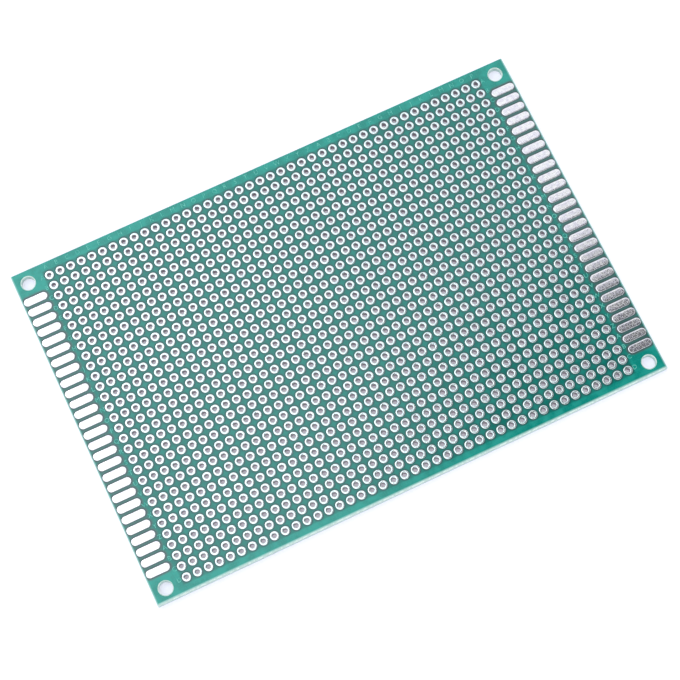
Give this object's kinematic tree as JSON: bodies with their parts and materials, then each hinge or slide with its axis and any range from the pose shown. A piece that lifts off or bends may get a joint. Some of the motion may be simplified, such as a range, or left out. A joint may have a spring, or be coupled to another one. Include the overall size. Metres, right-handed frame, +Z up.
{
  "type": "prototype board",
  "caption": "Double-sided prototype circuit board with a square grid of plated through-holes, finger pads along both ends and a mounting hole in each corner.",
  "frame": {"origin": "middle of the underside of the board, on the plane it rests on", "axes": "+X along the board's length, +Y along its width, +Z up through its thickness, out of the top face"},
  "size_m": [0.12, 0.08, 0.0016],
  "materials": {
    "laminate": "cut glass-epoxy, pale and slightly fibrous",
    "solder_mask": "glossy green solder mask over a faint glass weave",
    "tin": "bright hot-levelled tin, softly mottled"
  },
  "bodies": {
    "root": {"substrate": "laminate", "solder_mask_top": "solder_mask", "solder_mask_bottom": "solder_mask", "fingers_left_top": "tin", "fingers_left_bottom": "tin", "fingers_right_top": "tin", "fingers_right_bottom": "tin", "plated_row_01": "tin", "plated_row_02": "tin", "plated_row_03": "tin", "plated_row_04": "tin", "plated_row_05": "tin", "plated_row_06": "tin", "plated_row_07": "tin", "plated_row_08": "tin", "plated_row_09": "tin", "plated_row_10": "tin", "plated_row_11": "tin", "plated_row_12": "tin", "plated_row_13": "tin", "plated_row_14": "tin", "plated_row_15": "tin", "plated_row_16": "tin", "plated_row_17": "tin", "plated_row_18": "tin", "plated_row_19": "tin", "plated_row_20": "tin", "plated_row_21": "tin", "plated_row_22": "tin", "plated_row_23": "tin", "plated_row_24": "tin", "plated_row_25": "tin", "plated_row_26": "tin", "plated_row_27": "tin", "plated_row_28": "tin", "plated_row_29": "tin", "plated_row_30": "tin"}
  },
  "joints": []
}
